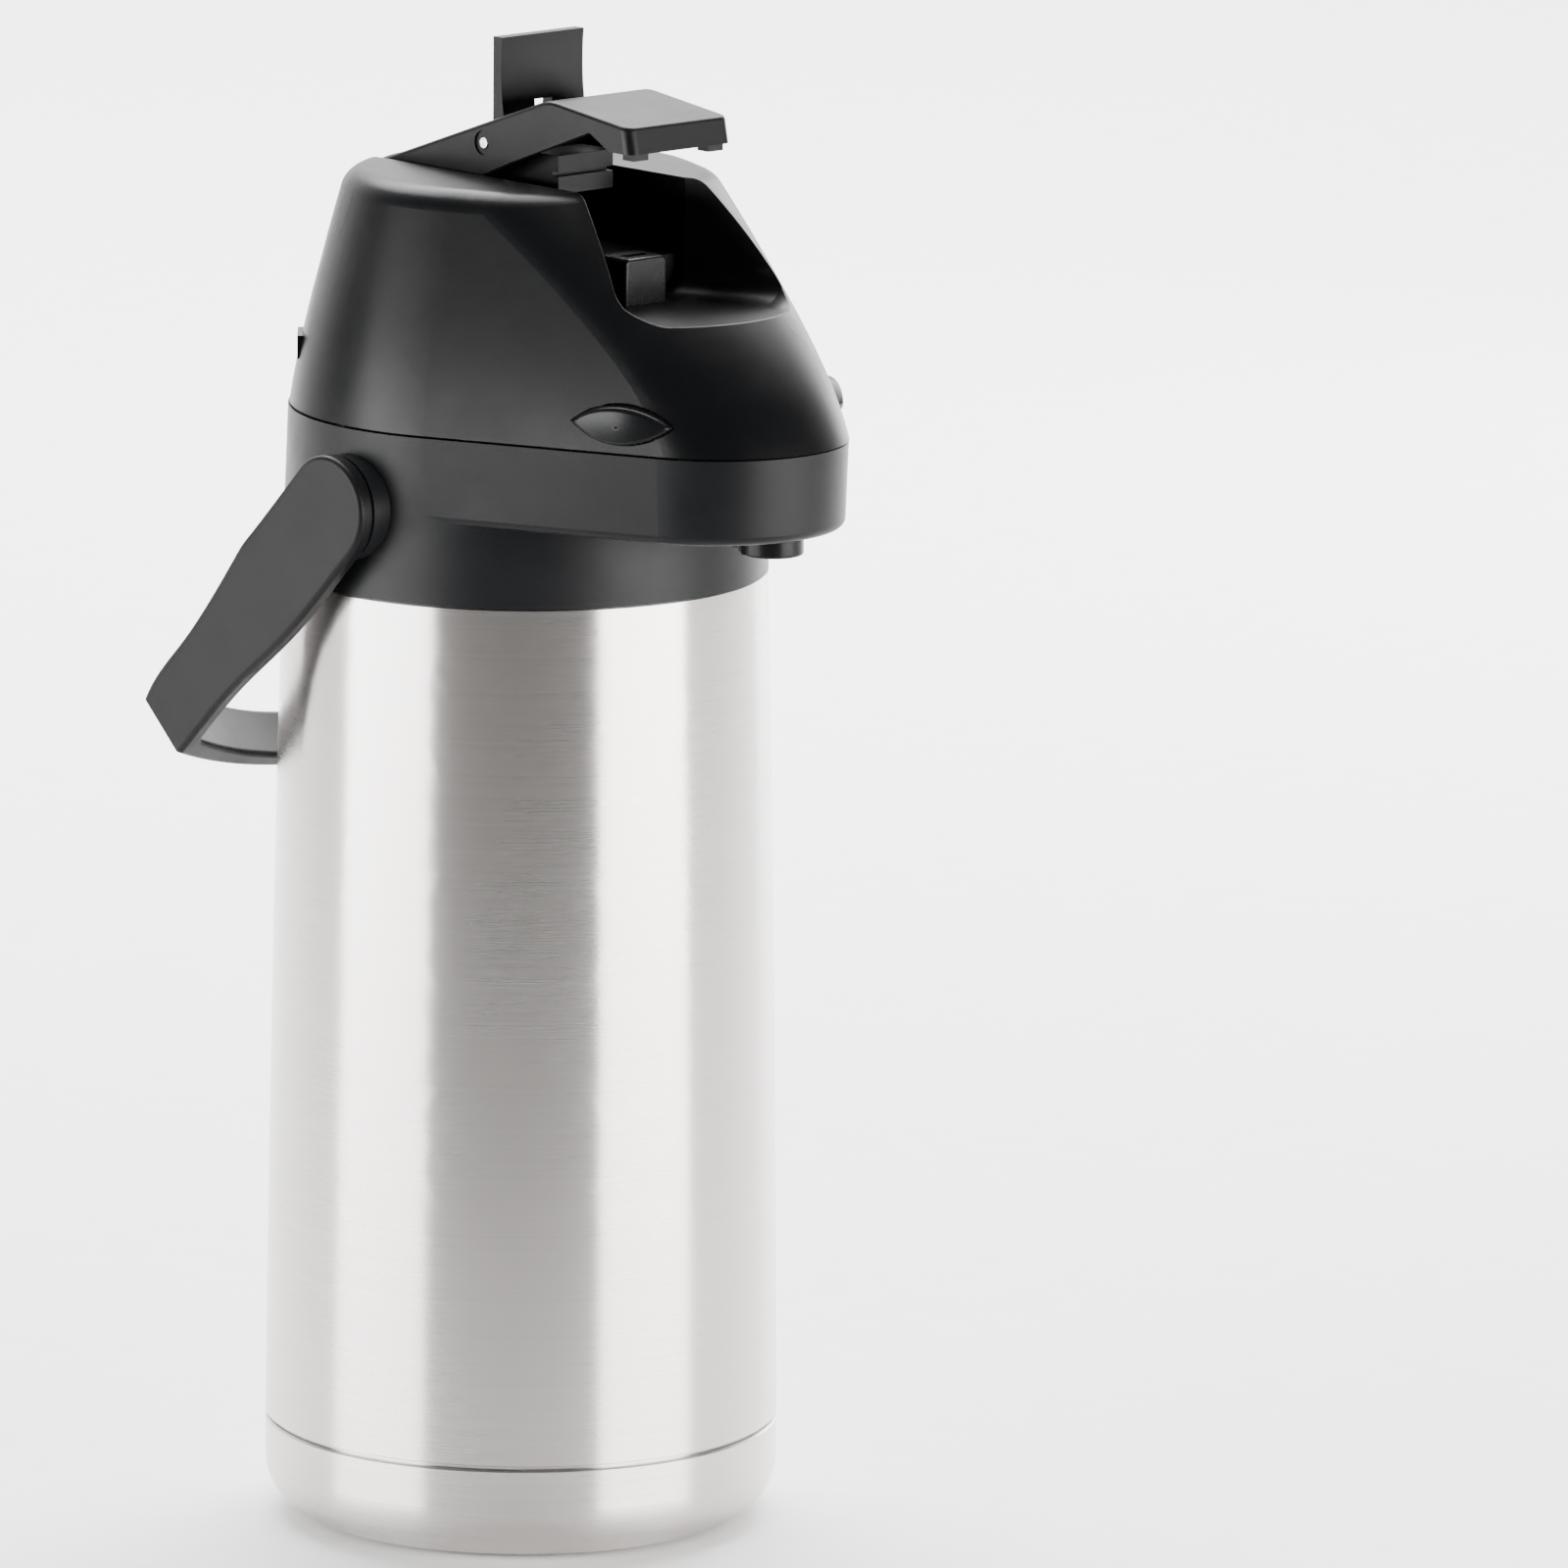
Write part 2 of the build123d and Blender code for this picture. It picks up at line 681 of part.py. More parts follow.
with BuildPart() as lid_base:
    with BuildSketch(Plane.XY.offset(dome_z + 0.4)):
        add(dome_plan(pump_base_z, plastic + 0.3))
    extrude(amount=pump_base_z - dome_z - 0.4)
    # gaps for the latch arms and for the buttons' lower edges, and posts behind the latch springs
    for side in (-1, 1):
        gap_plane = button_plane(side)
        with BuildSketch(gap_plane.offset(-9.2 - latch_travel)):
            with Locations((0, pump_base_z - button_z - 1.5)):
                Rectangle(2 * latch_arm_half + 2.0, 5.0)
        extrude(amount=12.0, mode=Mode.SUBTRACT)
        with BuildSketch(gap_plane.offset(-9.2)):
            with Locations((0, pump_base_z - button_z)):
                Rectangle(16.0, 2.8)
        extrude(amount=9.0, mode=Mode.SUBTRACT)
        with BuildSketch(gap_plane.offset(-15.2)):
            with Locations((0, pump_base_z - button_z + 5.1)):
                Rectangle(7.0, 10.2)
        extrude(amount=2.0)
    # air holes under the pump, around the valve's stem
    with BuildSketch(Plane.XY.offset(dome_z)):
        with PolarLocations(4.6, 6):
            Circle(1.3)
        Circle(1.5)
    extrude(amount=8, mode=Mode.SUBTRACT)
    # screw holes
    with BuildSketch(Plane.XY.offset(dome_z)):
        with Locations(*screw_places):
            Circle(1.7)
    extrude(amount=8, mode=Mode.SUBTRACT)
save(lid_base, "lid_base")

with BuildPart() as lid_screws:
    for place in screw_places:
        with BuildSketch(Plane.XY.offset(dome_z + 0.4 - 1.8)):
            with Locations(place):
                Circle(2.9)
        extrude(amount=1.8)
        with BuildSketch(Plane.XY.offset(dome_z + 0.4)):
            with Locations(place):
                Circle(1.25)
        extrude(amount=10.0)
        with BuildSketch(Plane.XY.offset(dome_z + 0.4 - 1.8)):
            with Locations(place):
                Rectangle(3.4, 0.8)
                Rectangle(0.8, 3.4)
        extrude(amount=0.9, mode=Mode.SUBTRACT)
save(lid_screws, "lid_screws")

with BuildPart() as lid_seal:
    with BuildSketch(Plane.XZ):
        with BuildLine():
            Polyline(
                (29.0, dome_z + 0.4),
                (29.0, 310.4),
                (30.6, stem_top_z + 0.3),
                (33.6, stem_top_z + 0.3),
                (35.0, 310.4),
                (35.0, dome_z + 0.4),
                (29.0, dome_z + 0.4),
            )
        make_face()
    revolve(axis=Axis.Z)
save(lid_seal, "lid_seal")

with BuildPart() as check_valve:
    with BuildSketch(Plane.XY.offset(pump_base_z)):
        Circle(7.4)
    extrude(amount=1.0)
    with BuildSketch(Plane.XY.offset(dome_z - 1.0)):
        Circle(1.4)
    extrude(amount=pump_base_z - dome_z + 1.0)
    with BuildSketch(Plane.XY.offset(dome_z - 1.2)):
        Circle(2.3)
    extrude(amount=1.4)
save(check_valve, "check_valve")

# ---------------------------------------------------------------- pump
folds = 5
with BuildPart() as bellows:
    # folded sleeve: an outer zigzag and the same zigzag one wall further in
    fold_step = (plate_z - pump_base_z - 2.0) / (2 * folds)
    outer_folds = [
        (25.8 if k % 2 else 21.6, pump_base_z + 1.0 + k * fold_step) for k in range(2 * folds + 1)
    ]
    inner_folds = [(r - 1.5, z) for r, z in reversed(outer_folds)]
    with BuildSketch(Plane.XZ):
        with BuildLine():
            Polyline(
                (26.5, pump_base_z),
                (26.5, pump_base_z + 1.0),
                *outer_folds,
                (26.5, plate_z - 1.0),
                (26.5, plate_z),
                (20.1, plate_z),
                *inner_folds,
                (20.1, pump_base_z),
                (26.5, pump_base_z),
            )
        make_face()
    revolve(axis=Axis.Z)
save(bellows, "bellows")

with BuildPart() as return_spring:
    spring_turns = 6
    spring_wire = 0.8
    spring_low = pump_base_z + spring_wire + 0.3
    spring_rise = plate_z - pump_base_z - 2 * spring_wire - 0.6
    with BuildLine() as spring_path:
        Helix(
            pitch=spring_rise / spring_turns,
            height=spring_rise,
            radius=13.0,
            center=(0, 0, spring_low),
        )
    with BuildSketch(Plane(origin=spring_path.line @ 0, z_dir=spring_path.line % 0)):
        Circle(spring_wire)
    sweep(path=spring_path.line)
save(return_spring, "return_spring")

with BuildPart() as pressure_plate:
    with BuildSketch(Plane.XY.offset(plate_z)):
        Circle(plate_radius)
    extrude(amount=plate_thick)
    # rod up through the dome's guide
    with BuildSketch(Plane.XY.offset(plate_z + plate_thick)):
        with Locations((0, link_y)):
            Circle(rod_radius)
    extrude(amount=head_low_z - plate_z - plate_thick)
    # head: two flat blocks with a groove between them
    with BuildSketch(Plane.YZ.offset(-head_half)):
        Polygon(
            (head_front_y, head_low_z),
            (8.0, head_low_z),
            (8.0, head_top_z),
            (5.0, head_top_z),
            (5.0, head_top_z + 3.4),
            (-9.0, head_top_z + 3.4),
            (-11.0, head_top_z + 5.8),
            (head_front_y, head_top_z + 5.8),
            (head_front_y, head_top_z + 1.3),
            (head_front_y + 2.5, head_top_z + 1.3),
            (head_front_y + 2.5, head_top_z),
            (head_front_y, head_top_z),
            align=None,
        )
    extrude(amount=2 * head_half)
    # tongue with the long hole for the link pin
    with BuildSketch(Plane.YZ.offset(-tongue_half)):
        with Locations((link_y - 0.4, (head_top_z + link_z + tongue_rise) / 2)):
            RectangleRounded(14.2, link_z + tongue_rise - head_top_z, 3.0)
        with Locations((link_y - 0.4, link_z)):
            SlotOverall(link_slot, 2 * link_radius + link_play, mode=Mode.SUBTRACT)
    extrude(amount=2 * tongue_half)
save(pressure_plate, "pressure_plate")

# ---------------------------------------------------------------- lever
crest_y, crest_z = lever_crest
front_y, front_z = lever_front
rear_top = (43.5, 375.3)
with BuildPart() as lever:
    # side view of the arm: round at the pin, rising to the crest, skirt and tab at the front
    with BuildSketch(Plane.YZ.offset(-lever_half)):
        with BuildLine():
            Polyline(
                rear_top,
                lever_crest,
                lever_front,
                (front_y - 1.5, skirt_z),
                (front_y + 7.4, skirt_z),
                (-45.6, 394.0),
                (-13.7, 382.0),
                (32.0, 363.4),
                (36.5, 361.9),
                (42.0, 361.7),
                (45.9, 365.0),
                (46.4, 370.0),
                rear_top,
            )
        make_face()
    extrude(amount=2 * lever_half)
    crest_edge = lever.edges().filter_by(Axis.X).sort_by(Axis.Z)[-1]
    fillet(crest_edge, 14.0)
    # upright corners of the paddle
    fillet(lever.faces().sort_by(Axis.Y)[0].edges().filter_by(Axis.X, reverse=True), 3.0)
    # the top's long edges
    top_faces = lever.faces().filter_by(lambda face: face.normal_at().Z > 0.9)
    top_edges = top_faces.edges().filter_by(lambda edge: abs(edge.center().X) > lever_half - 0.1)
    fillet(top_edges, lever_edge)
    # inside: open channel under the paddle
    with BuildSketch(Plane.YZ.offset(-lever_half + lever_wall)):
        Polygon(
            (33.0, 340.0),
            (33.0, 376.0),
            (crest_y + 3, crest_z - 4.6),
            (crest_y - 5, crest_z - 4.4),
            (front_y + 2.6, front_z - 3.0),
            (front_y + 0.8, 380.0),
            align=None,
        )
    extrude(amount=2 * (lever_half - lever_wall), mode=Mode.SUBTRACT)
    # open above from the paddle back to the pin's crossbar
    with BuildSketch(Plane.XY.offset(360)):
        with Locations((0, (33.0 + lever_slot_y) / 2)):
            RectangleRounded(2 * (lever_half - lever_wall), 33.0 - lever_slot_y, 1.5)
    extrude(amount=60, mode=Mode.SUBTRACT)
    # small feet under the paddle's front corners
    with BuildSketch(Plane.XY.offset(skirt_z - 2.0)):
        with Locations((-lever_half + 5.0, front_y + 2.2), (lever_half - 5.0, front_y + 2.2)):
            Rectangle(5.4, 4.4)
    extrude(amount=5.0)
    # bores of the two pins, with a shallow ring around the link pin
    with BuildSketch(Plane.YZ.offset(-lever_half - 1)):
        with Locations((lever_pin_y, lever_pin_z)):
            Circle(lever_pin_radius + fit)
        with Locations((link_y, link_z)):
            Circle(link_radius + 0.01)
    extrude(amount=2 * lever_half + 2, mode=Mode.SUBTRACT)
    for side in (-1, 1):
        with BuildSketch(Plane.YZ.offset(side * lever_half)):
            with Locations((link_y, link_z)):
                Circle(3.4)
        extrude(amount=0.6, both=True, mode=Mode.SUBTRACT)
save(lever, "lever")

with BuildPart() as lever_hinge_pin:
    with BuildSketch(Plane.YZ.offset(-channel_half - well_wall + 0.2)):
        with Locations((lever_pin_y, lever_pin_z)):
            Circle(lever_pin_radius)
    extrude(amount=2 * (channel_half + well_wall) - 0.4)
save(lever_hinge_pin, "lever_hinge_pin")

with BuildPart() as link_pin:
    with BuildSketch(Plane.YZ.offset(-lever_half + 0.2)):
        with Locations((link_y, link_z)):
            Circle(link_radius)
    extrude(amount=2 * lever_half - 0.4)
    chamfer(link_pin.edges().filter_by(GeomType.CIRCLE), 0.3)
save(link_pin, "link_pin")

with BuildPart() as lock_flap:
    # upright plate on the link pin, with an ear each side of the pump's tongue
    with BuildSketch(Plane.YZ.offset(-15.0)):
        with BuildLine():
            Line((link_y, link_z + 29.0), (link_y, link_z + 6.0))
            Line((link_y, link_z + 6.0), (link_y + 3.6, link_z))
            ThreePointArc((link_y + 3.6, link_z), (link_y, link_z - 3.6), (link_y - 3.6, link_z))
            Line((link_y - 3.6, link_z), (link_y - 4.2, link_z + 8.0))
            ThreePointArc(
                (link_y - 4.2, link_z + 8.0),
                (link_y - 3.2, link_z + 18.0),
                (link_y - 3.6, link_z + 29.0),
            )
            Line((link_y - 3.6, link_z + 29.0), (link_y, link_z + 29.0))
        make_face()
    extrude(amount=30.0)
    with BuildSketch(Plane.XY.offset(link_z - 6)):
        with Locations((0, link_y)):
            Rectangle(2 * tongue_half + 1.2, 14)
    extrude(amount=6 + 11.0, mode=Mode.SUBTRACT)
    with BuildSketch(Plane.YZ.offset(-16)):
        with Locations((link_y, link_z)):
            Circle(link_radius + fit)
    extrude(amount=32, mode=Mode.SUBTRACT)
save(lock_flap, "lock_flap")

# ---------------------------------------------------------------- latches
for side, hand in ((-1, "left"), (1, "right")):
    face_plane = button_plane(side)
    with BuildPart() as latch_button:
        # pointed oval, cut by a sphere to a smooth crown
        with BuildSketch(face_plane.offset(-2.2)):
            add(lens(button_length, button_height))
        extrude(amount=2.2 + button_proud)
        with Locations(face_plane.offset(button_proud - crown_radius)):
            Sphere(crown_radius, mode=Mode.INTERSECT)
        crown = latch_button.faces().filter_by(GeomType.SPHERE)
        fillet(crown.edges(), button_rim)
        # flange behind the dome's wall
        with BuildSketch(face_plane.offset(-5.4)):
            Rectangle(21.0, 8.4)
        extrude(amount=1.6)
        with BuildSketch(face_plane.offset(-4.2)):
            add(lens(button_length - 4.0, button_height - 3.0))
        extrude(amount=3.0)
        # arm down to the collar, with its nose turned out
        with BuildSketch(face_plane.offset(-8.6)):
            with Locations((0, (latch_foot_z + 323.5) / 2 - button_z)):
                Rectangle(2 * latch_arm_half, 323.5 - latch_foot_z)
        extrude(amount=3.3)
        with BuildSketch(face_plane.offset(-5.5)):
            with Locations((0, latch_foot_z + 1.5 - button_z)):
                Rectangle(2 * latch_arm_half, 3.0)
        extrude(amount=1.85 - latch_catch_gap)
    save(latch_button, f"latch_button_{hand}")

    with BuildPart() as latch_spring:
        # folded leaf between the latch's arm and the post on the lid's floor
        leaf_plane = Plane(
            origin=face_plane.offset(-13.15).origin, x_dir=face_plane.z_dir, z_dir=(0, 0, 1)
        )
        with BuildSketch(leaf_plane.offset(-2.0)):
            with BuildLine():
                Polyline((0.2, -2.6), (0.2, 2.6), (2.3, -2.6), (2.3, 2.6), (4.4, -2.6), (4.4, 2.6))
            trace(line_width=0.3)
        extrude(amount=4.0)
    save(latch_spring, f"latch_spring_{hand}")

# ---------------------------------------------------------------- handle
lean = radians(hang_angle)
grip_way = Vector(0, sin(lean), -cos(lean))
band_way = Vector(0, cos(lean), sin(lean))
bail_plane = Plane(origin=(0, pivot_y, pivot_z), x_dir=(1, 0, 0), z_dir=band_way)
side_plane = Plane(origin=(0, pivot_y, pivot_z), x_dir=grip_way, z_dir=(-1, 0, 0))
grip_end = grip_reach + grip_thick

with BuildPart() as arm_shape:
    # side view: round head at the pivot, tapering towards the grip
    with BuildSketch(side_plane.offset(-80)):
        with BuildLine():
            Spline(
                (0.0, head_radius),
                (41.0, 13.6),
                (69.0, 9.9),
                (95.0, 8.8),
                (122.0, 8.0),
                tangents=[(1, 0), (1, 0)],
            )
            Line((122.0, 8.0), (122.0, -7.6))
            Spline(
                (122.0, -7.6),
                (110.0, -7.9),
                (96.0, -11.8),
                (72.0, -12.6),
                (37.0, -15.3),
                (0.0, -head_radius),
                tangents=[(-1, 0), (-1, 0)],
            )
            ThreePointArc((0.0, -head_radius), (-head_radius, 0.0), (0.0, head_radius))
        make_face()
    extrude(amount=160)

with BuildPart() as carry_handle:
    # bail: two arms and a bowed grip, then cut to its side view
    with BuildSketch(bail_plane.offset(-20)) as bail:
        with BuildLine():
            Line((arm_outer, -20), (arm_outer, grip_end))
            ThreePointArc((arm_outer, grip_end), (0, grip_end + grip_sag), (-arm_outer, grip_end))
            Line((-arm_outer, grip_end), (-arm_outer, -20))
            Line((-arm_outer, -20), (-arm_inner, -20))
            Line((-arm_inner, -20), (-arm_inner, grip_reach))
            ThreePointArc((-arm_inner, grip_reach), (0, grip_reach + grip_sag), (arm_inner, grip_reach))
            Line((arm_inner, grip_reach), (arm_inner, -20))
            Line((arm_inner, -20), (arm_outer, -20))
        make_face()
        corners = bail.vertices().filter_by(lambda corner: corner.Y > 0).sort_by(Axis.Y)
        fillet(corners[:2], 3.0)
        fillet(corners[2:], 1.6)
    extrude(amount=40)
    add(arm_shape.part, mode=Mode.INTERSECT)
    fillet(carry_handle.edges().filter_by(GeomType.LINE, reverse=True), handle_edge)
    # blind holes for the pivot pins
    with BuildSketch(Plane.YZ.offset(-arm_outer + 1.6)):
        with Locations((pivot_y, pivot_z)):
            Circle(handle_pin_radius + fit)
    extrude(amount=2 * arm_outer - 3.2, mode=Mode.SUBTRACT)
save(carry_handle, "carry_handle")

for side, hand in ((-1, "left"), (1, "right")):
    with BuildPart() as handle_pin:
        with BuildSketch(Plane.YZ.offset(side * 60.0)):
            with Locations((pivot_y, pivot_z)):
                Circle(handle_pin_radius)
        extrude(amount=side * (arm_outer - 2.0 - 60.0))
        with BuildSketch(Plane.YZ.offset(side * 59.8)):
            with Locations((pivot_y, pivot_z)):
                Circle(6.5)
        extrude(amount=side * 2.4)
    save(handle_pin, f"handle_pin_{hand}")
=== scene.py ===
"""Looks of the thermal coffee airpot: materials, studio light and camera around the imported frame."""

import bpy
import json
from math import cos, radians, sin
from mathutils import Matrix, Vector

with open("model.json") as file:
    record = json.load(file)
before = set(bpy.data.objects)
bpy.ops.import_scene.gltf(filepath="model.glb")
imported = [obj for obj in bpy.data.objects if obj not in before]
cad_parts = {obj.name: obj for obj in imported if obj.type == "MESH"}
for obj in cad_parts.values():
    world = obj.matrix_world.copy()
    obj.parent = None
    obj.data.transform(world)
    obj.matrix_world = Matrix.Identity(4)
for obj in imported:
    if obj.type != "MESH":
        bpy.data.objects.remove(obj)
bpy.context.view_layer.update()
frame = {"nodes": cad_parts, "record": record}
nodes = frame["nodes"]

# ---------------------------------------------------------------- camera facts
CAMERA_PLACE = Vector((-2.6765, -2.9726, 1.0))
CAMERA_HEADING = radians(-43.026)
CAMERA_TILT = radians(11.232)
CAMERA_ROLL = radians(0.5)
LENS_MM = 339.3
SENSOR_MM = 36.0
CLIP_END = 50.0

# level directions: from the object towards the camera, and to the right of the picture
HEADING = Vector((sin(CAMERA_HEADING), -cos(CAMERA_HEADING), 0.0))
SIDEWAYS = Vector((cos(CAMERA_HEADING), sin(CAMERA_HEADING), 0.0))

# scale of a texture that is the same along each axis
EVEN = (1.0, 1.0, 1.0)


# ---------------------------------------------------------------- node helpers
def new_material(name):
    """An empty material with its output and one Principled shader."""
    material = bpy.data.materials.new(name)
    material.use_nodes = True
    tree = material.node_tree
    tree.nodes.clear()
    output = tree.nodes.new("ShaderNodeOutputMaterial")
    shader = tree.nodes.new("ShaderNodeBsdfPrincipled")
    tree.links.new(shader.outputs["BSDF"], output.inputs["Surface"])
    return material, tree, shader


def object_coordinates(tree, scale):
    """The object's own coordinates, stretched by a scale for each axis."""
    place = tree.nodes.new("ShaderNodeTexCoord")
    mapping = tree.nodes.new("ShaderNodeMapping")
    mapping.inputs["Scale"].default_value = scale
    tree.links.new(place.outputs["Object"], mapping.inputs["Vector"])
    return mapping.outputs["Vector"]


def noise(tree, vector, scale, detail=4.0, roughness=0.5):
    """A noise texture's value."""
    texture = tree.nodes.new("ShaderNodeTexNoise")
    texture.inputs["Scale"].default_value = scale
    texture.inputs["Detail"].default_value = detail
    texture.inputs["Roughness"].default_value = roughness
    tree.links.new(vector, texture.inputs["Vector"])
    return texture.outputs["Fac"]


def spread(tree, value, low, high, start=0.3, end=0.7):
    """A value brought from start..end to low..high."""
    change = tree.nodes.new("ShaderNodeMapRange")
    change.inputs["From Min"].default_value = start
    change.inputs["From Max"].default_value = end
    change.inputs["To Min"].default_value = low
    change.inputs["To Max"].default_value = high
    tree.links.new(value, change.inputs["Value"])
    return change.outputs["Result"]


def blend_colours(tree, value, first, second):
    """Two colours blended by a value."""
    ramp = tree.nodes.new("ShaderNodeValToRGB")
    ramp.color_ramp.elements[0].position = 0.3
    ramp.color_ramp.elements[1].position = 0.7
    ramp.color_ramp.elements[0].color = (*first, 1)
    ramp.color_ramp.elements[1].color = (*second, 1)
    tree.links.new(value, ramp.inputs["Fac"])
    return ramp.outputs["Color"]


def add_values(tree, first, second, kind="ADD"):
    """Two values joined by a maths node."""
    maths = tree.nodes.new("ShaderNodeMath")
    maths.operation = kind
    tree.links.new(first, maths.inputs[0])
    tree.links.new(second, maths.inputs[1])
    return maths.outputs["Value"]


def along(tree, vector, way):
    """How far a vector goes in a direction."""
    dot = tree.nodes.new("ShaderNodeVectorMath")
    dot.operation = "DOT_PRODUCT"
    dot.inputs[1].default_value = way
    tree.links.new(vector, dot.inputs[0])
    return dot.outputs["Value"]


def bump(tree, shader, height, strength, distance):
    """Relief from a height value."""
    relief = tree.nodes.new("ShaderNodeBump")
    relief.inputs["Strength"].default_value = strength
    relief.inputs["Distance"].default_value = distance
    tree.links.new(height, relief.inputs["Height"])
    tree.links.new(relief.outputs["Normal"], shader.inputs["Normal"])


# ---------------------------------------------------------------- materials
def brushed_steel(name, dark, light, smooth, rough):
    """Sheet steel brushed around the bottle: rings of fine scratches, and slow patches of haze."""
    material, tree, shader = new_material(name)
    rings = noise(tree, object_coordinates(tree, (2.5, 2.5, 900.0)), 1.0, 6.0, 0.65)
    fine = noise(tree, object_coordinates(tree, (9.0, 9.0, 4200.0)), 1.0, 3.0, 0.6)
    haze = noise(tree, object_coordinates(tree, (14.0, 14.0, 6.0)), 1.0, 2.0, 0.5)
    scratches = add_values(tree, rings, fine, "MULTIPLY")
    tree.links.new(blend_colours(tree, rings, dark, light), shader.inputs["Base Color"])
    both = add_values(tree, scratches, haze)
    tree.links.new(spread(tree, both, smooth, rough, 0.45, 1.05), shader.inputs["Roughness"])
    shader.inputs["Metallic"].default_value = 1.0
    shader.inputs["Anisotropic"].default_value = 0.95
    shader.inputs["Anisotropic Rotation"].default_value = 0.25
    tangent = tree.nodes.new("ShaderNodeTangent")
    tangent.direction_type = "RADIAL"
    tangent.axis = "Z"
    tree.links.new(tangent.outputs["Tangent"], shader.inputs["Tangent"])
    bump(tree, shader, scratches, 0.004, 0.0001)
    return material


def plain_steel(name, colour, smooth, rough):
    """Turned or drawn steel of pins, screws and wire, with faint marks."""
    material, tree, shader = new_material(name)
    marks = noise(tree, object_coordinates(tree, (300.0, 900.0, 900.0)), 1.0, 4.0)
    darker = tuple(0.82 * part for part in colour)
    tree.links.new(blend_colours(tree, marks, darker, colour), shader.inputs["Base Color"])
    tree.links.new(spread(tree, marks, smooth, rough), shader.inputs["Roughness"])
    shader.inputs["Metallic"].default_value = 1.0
    bump(tree, shader, marks, 0.08, 0.0001)
    return material


def moulded_plastic(name, dark, light, smooth, rough, grain=0.10):
    """Satin moulded plastic: spark-eroded grain, with slow changes of gloss from handling."""
    material, tree, shader = new_material(name)
    texture = noise(tree, object_coordinates(tree, EVEN), 2600.0, 3.0, 0.6)
    flow = noise(tree, object_coordinates(tree, (1.0, 1.0, 1.6)), 16.0, 4.0, 0.55)
    touch = noise(tree, object_coordinates(tree, EVEN), 70.0, 6.0, 0.6)
    tree.links.new(blend_colours(tree, flow, dark, light), shader.inputs["Base Color"])
    gloss = add_values(tree, flow, touch)
    tree.links.new(spread(tree, gloss, smooth, rough, 0.7, 1.3), shader.inputs["Roughness"])
    shader.inputs["IOR"].default_value = 1.50
    shader.inputs["Specular IOR Level"].default_value = 0.12
    bump(tree, shader, texture, grain, 0.0002)
    return material


def clear_resin(name, dark, light):
    """Natural, slightly milky food-grade plastic."""
    material, tree, shader = new_material(name)
    cloud = noise(tree, object_coordinates(tree, EVEN), 45.0, 4.0)
    grain = noise(tree, object_coordinates(tree, EVEN), 1800.0, 2.0)
    tree.links.new(blend_colours(tree, cloud, dark, light), shader.inputs["Base Color"])
    tree.links.new(spread(tree, grain, 0.38, 0.52), shader.inputs["Roughness"])
    shader.inputs["Subsurface Weight"].default_value = 0.15
    shader.inputs["Subsurface Radius"].default_value = (0.004, 0.004, 0.003)
    bump(tree, shader, grain, 0.08, 0.0002)
    return material


def soft_rubber(name, dark, light):
    """Matt rubber or silicone with a fine bloom."""
    material, tree, shader = new_material(name)
    bloom = noise(tree, object_coordinates(tree, EVEN), 220.0, 5.0, 0.6)
    tree.links.new(blend_colours(tree, bloom, dark, light), shader.inputs["Base Color"])
    tree.links.new(spread(tree, bloom, 0.62, 0.80), shader.inputs["Roughness"])
    bump(tree, shader, bloom, 0.15, 0.0003)
    return material


# a darker and a lighter shade of each black moulding
COLLAR_BLACK = ((0.0050, 0.0053, 0.0060), (0.0070, 0.0073, 0.0082))
DOME_BLACK = ((0.0022, 0.0024, 0.0028), (0.0032, 0.0034, 0.0040))
LEVER_BLACK = ((0.0026, 0.0028, 0.0032), (0.0038, 0.0040, 0.0045))
BUTTON_BLACK = ((0.0034, 0.0036, 0.0040), (0.0050, 0.0053, 0.0058))
FINE_GRAIN = 0.05

# a darker and a lighter shade of each sheet steel
BODY_STEEL = ((0.53, 0.50, 0.485), (0.58, 0.55, 0.535))
BASE_STEEL = ((0.55, 0.52, 0.505), (0.60, 0.57, 0.555))
LINER_STEEL = ((0.55, 0.55, 0.55), (0.66, 0.66, 0.66))

# one material for each of the record's slots
finishes = {
    "brushed_steel": brushed_steel("body_steel", *BODY_STEEL, 0.265, 0.295),
    "base_steel": brushed_steel("base_steel_look", *BASE_STEEL, 0.265, 0.295),
    "liner_steel": brushed_steel("liner_steel_look", *LINER_STEEL, 0.30, 0.45),
    "bright_steel": plain_steel("pin_steel", (0.80, 0.80, 0.80), 0.14, 0.26),
    "spring_steel": plain_steel("wire_steel", (0.55, 0.55, 0.57), 0.25, 0.40),
    "black_plastic": moulded_plastic("collar_plastic", *COLLAR_BLACK, 0.36, 0.46),
    "dome_plastic": moulded_plastic("dome_plastic_look", *DOME_BLACK, 0.30, 0.38, FINE_GRAIN),
    "lever_plastic": moulded_plastic("lever_plastic_look", *LEVER_BLACK, 0.34, 0.46),
    "handle_plastic": moulded_plastic("handle_plastic_look", *LEVER_BLACK, 0.36, 0.48),
    "button_plastic": moulded_plastic("button_plastic_look", *BUTTON_BLACK, 0.22, 0.34, FINE_GRAIN),
    "nozzle_plastic": moulded_plastic("nozzle_plastic_look", *BUTTON_BLACK, 0.24, 0.36, FINE_GRAIN),
    "food_plastic": clear_resin("natural_resin", (0.62, 0.61, 0.57), (0.74, 0.73, 0.69)),
    "bellows_rubber": soft_rubber("bellows_silicone", (0.45, 0.44, 0.41), (0.56, 0.55, 0.52)),
    "seal_rubber": soft_rubber("seal_silicone", (0.50, 0.48, 0.44), (0.60, 0.58, 0.54)),
    "foot_rubber": soft_rubber("foot_rubber_look", (0.022, 0.022, 0.022), (0.034, 0.034, 0.034)),
}

for part in frame["record"]["subparts"]:
    mesh = nodes[part["node"]].data
    mesh.materials.clear()
    mesh.materials.append(finishes[part["material_slot"]])

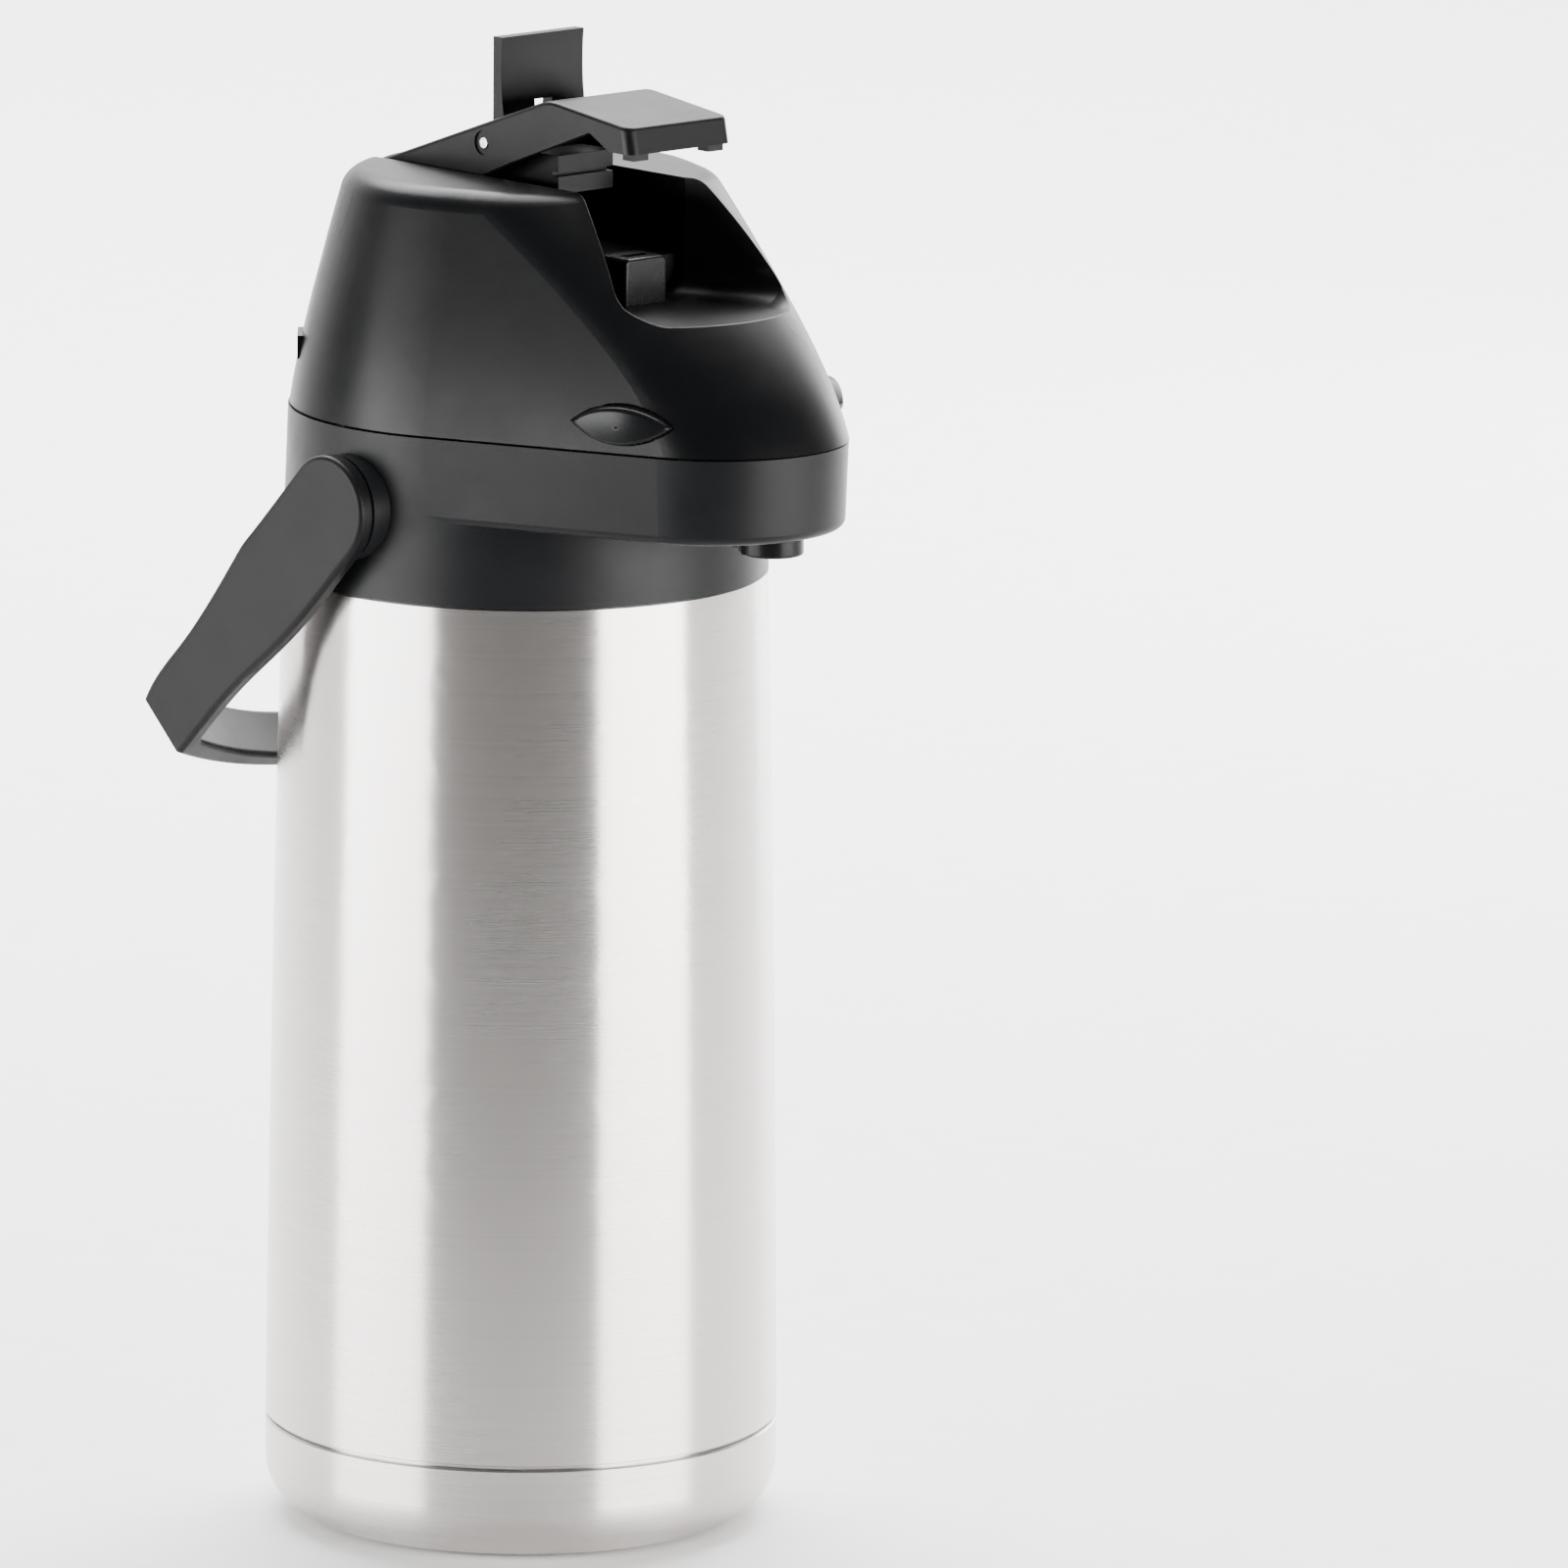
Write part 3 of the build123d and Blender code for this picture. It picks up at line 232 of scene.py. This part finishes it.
# ---------------------------------------------------------------- studio
AIM = Vector((0.0, 0.0, 0.22))  # what the panels face: half way up the bottle
SOFTBOX_DISTANCE = 1.9
SOFTBOX_DROP = -0.02  # below the aim
SOFTBOX_TALL = 0.9
STRIP_DISTANCE = 2.0
STRIP_RISE = 0.35
STRIP_TALL = 2.2
WHITE = (1.0, 1.0, 1.0)
WARM_WHITE = (1.0, 0.99, 0.975)

WORLD_COLOUR = (1.0, 0.985, 0.97, 1.0)
WORLD_AHEAD = 0.12  # strength on the camera's side of the room
WORLD_BEHIND = 2.6  # strength behind the object

FLOOR_RADIUS = 9.0
FLOOR_PALE = 0.86
FLOOR_PAINTED_SHADE = 0.08  # painted shade: the floor towards the camera, outside the picture, is darkened in place of the dim side of the room; the steel reflects it
FADE_START = 0.10  # ahead of the origin
FADE_END = 0.6


def area_light(name, shape, place, power):
    """A soft light that the camera doesn't see."""
    light = bpy.data.lights.new(name, "AREA")
    light.shape = shape
    light.energy = power
    holder = bpy.data.objects.new(name, light)
    bpy.context.scene.collection.objects.link(holder)
    holder.location = place
    holder.visible_camera = False
    return light, holder


def panel(name, turn, distance, rise, width, tall, power, colour=WHITE):
    """A softbox that faces the object; turn is its angle from the camera, positive to the right."""
    way = HEADING * cos(radians(turn)) + SIDEWAYS * sin(radians(turn))
    place = AIM + way * distance + Vector((0.0, 0.0, rise))
    light, holder = area_light(name, "RECTANGLE", place, power)
    light.size = width
    light.size_y = tall
    light.color = colour
    holder.rotation_euler = (AIM - place).to_track_quat("-Z", "Y").to_euler()


def ceiling_disk(name, place, size, power):
    """A round soft light above, pointing straight down."""
    light, _ = area_light(name, "DISK", place, power)
    light.size = size


def studio_world():
    """Surroundings that are white behind the object and dim on the camera's side of the room."""
    world = bpy.data.worlds.new("studio")
    bpy.context.scene.world = world
    world.use_nodes = True
    tree = world.node_tree
    direction = tree.nodes.new("ShaderNodeTexCoord")
    behind = along(tree, direction.outputs["Generated"], -HEADING)
    strength = spread(tree, behind, WORLD_AHEAD, WORLD_BEHIND, 0.25, 0.75)
    background = tree.nodes["Background"]
    background.inputs["Color"].default_value = WORLD_COLOUR
    tree.links.new(strength, background.inputs["Strength"])


def studio_floor():
    """A pale paper floor under the base, with painted shade that darkens it towards the camera."""
    bpy.ops.mesh.primitive_circle_add(
        vertices=96, radius=FLOOR_RADIUS, fill_type="NGON", location=(0, 0, 0)
    )
    floor = bpy.context.object
    floor.name = "paper_floor"
    material, tree, shader = new_material("pale_paper_painted_shade")
    place = object_coordinates(tree, EVEN)
    fibre = noise(tree, place, 60.0, 5.0)
    # painted shade: the paper's colour fades to dark towards the camera, in place of the room's shade
    shade = spread(tree, along(tree, place, HEADING), FLOOR_PALE, FLOOR_PAINTED_SHADE, FADE_START, FADE_END)
    grain = spread(tree, fibre, 0.0, 0.03)
    tree.links.new(add_values(tree, shade, grain), shader.inputs["Base Color"])
    shader.inputs["Roughness"].default_value = 0.9
    shader.inputs["Specular IOR Level"].default_value = 0.1
    floor.data.materials.append(material)


panel("left_softbox", -65.5, SOFTBOX_DISTANCE, SOFTBOX_DROP, 1.60, SOFTBOX_TALL, 110.0)
panel("right_softbox", 58.0, SOFTBOX_DISTANCE, SOFTBOX_DROP, 1.55, SOFTBOX_TALL, 125.0, WARM_WHITE)
panel("rear_right_strip", 150.0, STRIP_DISTANCE, STRIP_RISE, 0.9, STRIP_TALL, 40.0)
ceiling_disk("overhead", AIM + Vector((0.2, 0.3, 1.9)), 1.6, 4.0)
ceiling_disk("floor_wash", -2.2 * HEADING + Vector((0.0, 0.0, 2.6)), 4.0, 560.0)
studio_world()
studio_floor()

# ---------------------------------------------------------------- camera
forward = Vector(
    (
        -sin(CAMERA_HEADING) * cos(CAMERA_TILT),
        cos(CAMERA_HEADING) * cos(CAMERA_TILT),
        -sin(CAMERA_TILT),
    )
)
level_right = forward.cross(Vector((0.0, 0.0, 1.0))).normalized()
level_up = level_right.cross(forward)
right = level_right * cos(CAMERA_ROLL) + level_up * sin(CAMERA_ROLL)
up = level_up * cos(CAMERA_ROLL) - level_right * sin(CAMERA_ROLL)
camera = bpy.data.cameras.new("photo_camera")
camera.lens = LENS_MM
camera.sensor_width = SENSOR_MM
camera.clip_end = CLIP_END
camera_holder = bpy.data.objects.new("photo_camera", camera)
bpy.context.scene.collection.objects.link(camera_holder)
facing = Matrix((right, up, -forward)).transposed()
camera_holder.matrix_world = Matrix.Translation(CAMERA_PLACE) @ facing.to_4x4()
bpy.context.scene.camera = camera_holder
